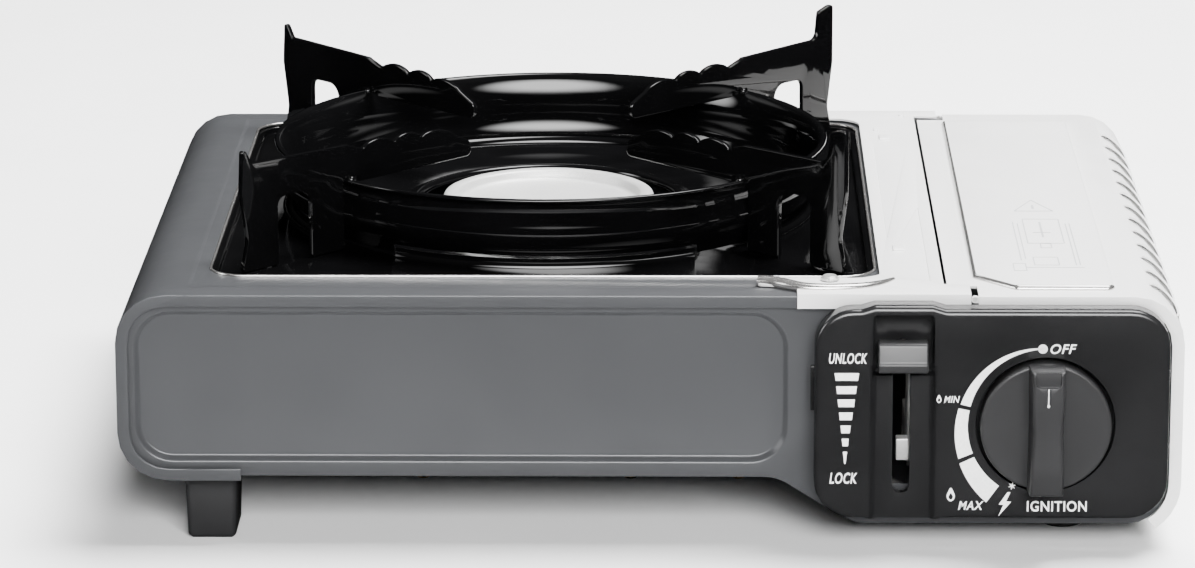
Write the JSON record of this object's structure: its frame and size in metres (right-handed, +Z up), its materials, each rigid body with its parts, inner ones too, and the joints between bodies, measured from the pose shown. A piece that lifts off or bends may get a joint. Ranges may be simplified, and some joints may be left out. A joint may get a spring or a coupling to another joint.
{
  "type": "camping stove",
  "caption": "Table-top gas camping stove with a ring pan support, a hinged cartridge bay lid, a lock lever and an ignition knob.",
  "frame": {"origin": "on the ground, below the middle of the whole stove's bounding box", "axes": "+X to the right of someone facing the controls, +Y away from them, +Z up"},
  "size_m": [0.342, 0.277, 0.1293],
  "materials": {
    "grey_paint": "semi-gloss grey paint on pressed steel",
    "silver_paint": "fine silver paint on pressed steel",
    "black_enamel": "glossy black vitreous enamel",
    "black_plastic": "satin moulded plastic",
    "cast_alloy": "as-cast, bead blasted",
    "plated_steel": "zinc plated",
    "brass": "machined",
    "rubber": "matt",
    "ceramic": "glazed ceramic",
    "wire_cover": "silicone insulation"
  },
  "bodies": {
    "stove_body": {"base_screw_1": "brass", "base_screw_2": "brass", "base_screw_3": "brass", "base_tray": "grey_paint", "body_shell": "grey_paint", "bridge_plate": "silver_paint", "burner_bowl": "cast_alloy", "burner_bracket": "plated_steel", "burner_cap": "cast_alloy", "cartridge_cradle": "plated_steel", "cartridge_seal": "rubber", "clip_screw": "plated_steel", "drip_pan": "black_enamel", "electrode_bracket": "plated_steel", "electrode_insulator": "ceramic", "electrode_pin": "plated_steel", "fascia": "black_plastic", "foot_back": "rubber", "foot_front": "rubber", "gas_nozzle": "brass", "gas_pipe": "brass", "gas_valve": "cast_alloy", "heat_shield": "plated_steel", "igniter_body": "black_plastic", "ignition_wire": "wire_cover", "leg_back": "black_plastic", "leg_front": "black_plastic", "lid_pin_back": "plated_steel", "lid_pin_front": "plated_steel", "mixing_tube": "cast_alloy", "valve_bracket": "plated_steel"},
    "lid": {"lid": "silver_paint"},
    "knob": {"knob": "black_plastic", "valve_stem": "brass", "igniter_cam": "black_plastic"},
    "lever": {"lever_thumb": "black_plastic", "lever_plate": "plated_steel"},
    "carriage": {"cartridge_carriage": "plated_steel"},
    "plunger": {"igniter_plunger": "ceramic"},
    "pan_support": {"support_ring": "black_enamel", "support_arm_back_left": "black_enamel", "support_arm_back_right": "black_enamel", "support_arm_front_left": "black_enamel", "support_arm_front_right": "black_enamel"}
  },
  "joints": [
    {"name": "lid_hinge", "type": "hinge", "parent": "stove_body", "child": "lid", "pos_m": [0.1039, 0, 0.0833], "axis": [0, -1, 0], "range_deg": [0, 95]},
    {"name": "knob_turn", "type": "hinge", "parent": "stove_body", "child": "knob", "pos_m": [0.1264, -0.11655, 0.0445], "axis": [0, -1, 0], "range_deg": [0, 160]},
    {"name": "lever_slide", "type": "slide", "parent": "stove_body", "child": "lever", "axis": [0, 0, -1], "range_m": [0, 0.036]},
    {"name": "carriage_slide", "type": "slide", "parent": "stove_body", "child": "carriage", "axis": [0, -1, 0], "range_m": [0, 0.004]},
    {"name": "plunger_press", "type": "slide", "parent": "stove_body", "child": "plunger", "axis": [1, 0, 0], "range_m": [0, 0.0035], "stiffness_N_per_m": 400, "springref_m": -0.002},
    {"name": "support_lift", "type": "slide", "parent": "stove_body", "child": "pan_support", "axis": [0, 0, 1], "range_m": [0, 0.08]}
  ],
  "couplings": [
    {"joint": "carriage_slide", "follows": "lever_slide", "ratio": 0.1111}
  ]
}
